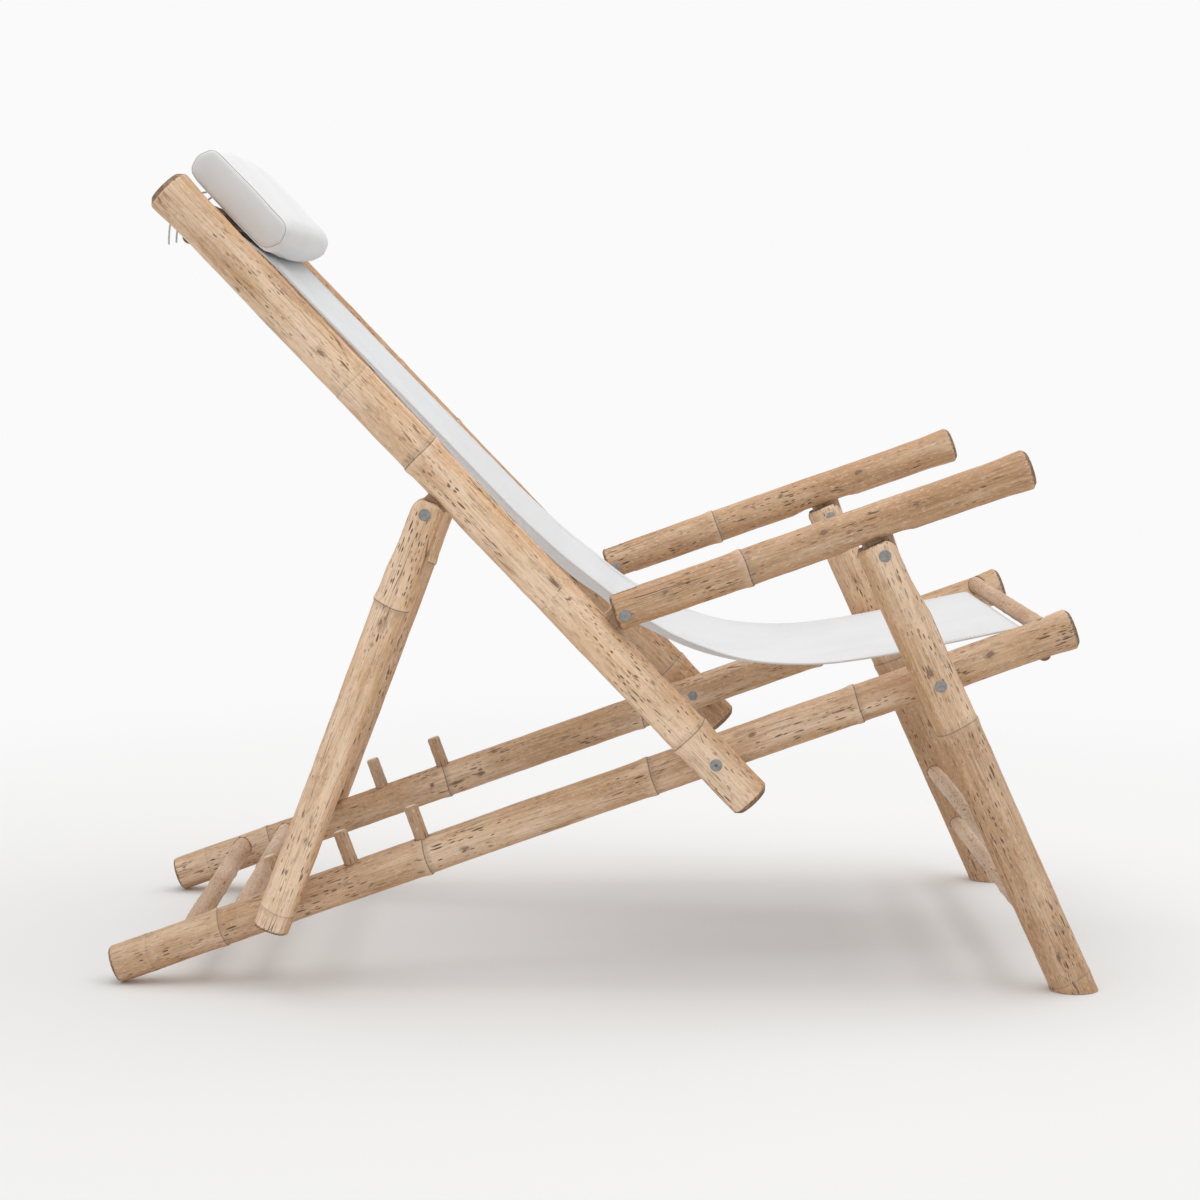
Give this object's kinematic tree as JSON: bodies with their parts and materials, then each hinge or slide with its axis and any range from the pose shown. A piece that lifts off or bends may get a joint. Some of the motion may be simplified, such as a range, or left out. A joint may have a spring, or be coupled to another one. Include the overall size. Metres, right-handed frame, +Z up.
{
  "type": "folding recliner",
  "caption": "Reclining garden chair of round bamboo poles with a canvas sling, a tied head cushion, armrests, folding front legs and a rear prop that hooks over pegs.",
  "frame": {"origin": "middle of the length and width, on the floor", "axes": "+X towards the front of the seat, +Y towards the sitter's left, +Z up"},
  "size_m": [1.1625, 0.6536, 0.977],
  "materials": {
    "bamboo": "weathered, dry, matte",
    "peg_wood": "dry, matte, sawn ends",
    "canvas": "plain woven cotton",
    "cushion_cloth": "plain woven cotton",
    "cord": "braided, soft",
    "bolt_steel": "dull zinc"
  },
  "bodies": {
    "base": {"base_rail_left": "bamboo", "recline_peg_left_1": "peg_wood", "recline_peg_left_2": "peg_wood", "recline_peg_left_3": "peg_wood", "back_pivot_bolt_left": "bolt_steel", "back_pivot_nut_left": "bolt_steel", "leg_pivot_bolt_left": "bolt_steel", "leg_pivot_nut_left": "bolt_steel", "base_rail_right": "bamboo", "recline_peg_right_1": "peg_wood", "recline_peg_right_2": "peg_wood", "recline_peg_right_3": "peg_wood", "back_pivot_bolt_right": "bolt_steel", "back_pivot_nut_right": "bolt_steel", "leg_pivot_bolt_right": "bolt_steel", "leg_pivot_nut_right": "bolt_steel", "rear_stretcher_lower": "bamboo", "rear_stretcher_upper": "bamboo", "front_bar": "bamboo", "front_hem_rod": "bamboo", "sling_seat_span": "canvas"},
    "back_frame": {"back_rail_left": "bamboo", "arm_tongue_left": "bamboo", "prop_tongue_left": "bamboo", "tie_left_long": "cord", "tie_left_short": "cord", "back_rail_right": "bamboo", "arm_tongue_right": "bamboo", "prop_tongue_right": "bamboo", "tie_right_long": "cord", "tie_right_short": "cord", "top_bar": "bamboo", "top_hem_rod": "bamboo", "sling_back_span": "canvas", "head_cushion": "cushion_cloth"},
    "front_legs": {"front_leg_left": "bamboo", "leg_top_bolt_left": "bolt_steel", "leg_top_nut_left": "bolt_steel", "front_leg_right": "bamboo", "leg_top_bolt_right": "bolt_steel", "leg_top_nut_right": "bolt_steel", "leg_stretcher_upper": "bamboo", "leg_stretcher_lower": "bamboo"},
    "armrest_left": {"armrest_left": "bamboo", "leg_tongue_left": "bamboo", "arm_pivot_bolt_left": "bolt_steel", "arm_pivot_nut_left": "bolt_steel"},
    "armrest_right": {"armrest_right": "bamboo", "leg_tongue_right": "bamboo", "arm_pivot_bolt_right": "bolt_steel", "arm_pivot_nut_right": "bolt_steel"},
    "prop_frame": {"prop_leg_left": "bamboo", "prop_pivot_bolt_left": "bolt_steel", "prop_pivot_nut_left": "bolt_steel", "prop_leg_right": "bamboo", "prop_pivot_bolt_right": "bolt_steel", "prop_pivot_nut_right": "bolt_steel", "prop_bar": "bamboo"}
  },
  "joints": [
    {"name": "back_fold", "type": "hinge", "parent": "base", "child": "back_frame", "pos_m": [0.13135, 0, 0.27042], "axis": [0, -1, 0], "range_deg": [0, 58]},
    {"name": "leg_fold", "type": "hinge", "parent": "base", "child": "front_legs", "pos_m": [0.38822, 0, 0.36138], "axis": [0, -1, 0], "range_deg": [0, 69.4]},
    {"name": "armrest_left_fold", "type": "hinge", "parent": "back_frame", "child": "armrest_left", "pos_m": [0.02709, 0.2995, 0.44301], "axis": [0, -1, 0], "range_deg": [-55.9, 0]},
    {"name": "armrest_right_fold", "type": "hinge", "parent": "back_frame", "child": "armrest_right", "pos_m": [0.02709, -0.2995, 0.44301], "axis": [0, -1, 0], "range_deg": [-55.9, 0]},
    {"name": "prop_fold", "type": "hinge", "parent": "back_frame", "child": "prop_frame", "pos_m": [-0.20055, 0, 0.55796], "axis": [0, -1, 0], "range_deg": [-110.3, 0]}
  ],
  "couplings": [
    {"joint": "leg_fold", "follows": "back_fold", "ratio": 1.1947},
    {"joint": "armrest_left_fold", "follows": "back_fold", "ratio": -0.9617},
    {"joint": "armrest_right_fold", "follows": "back_fold", "ratio": -0.9617},
    {"joint": "prop_fold", "follows": "back_fold", "ratio": -1.9}
  ]
}
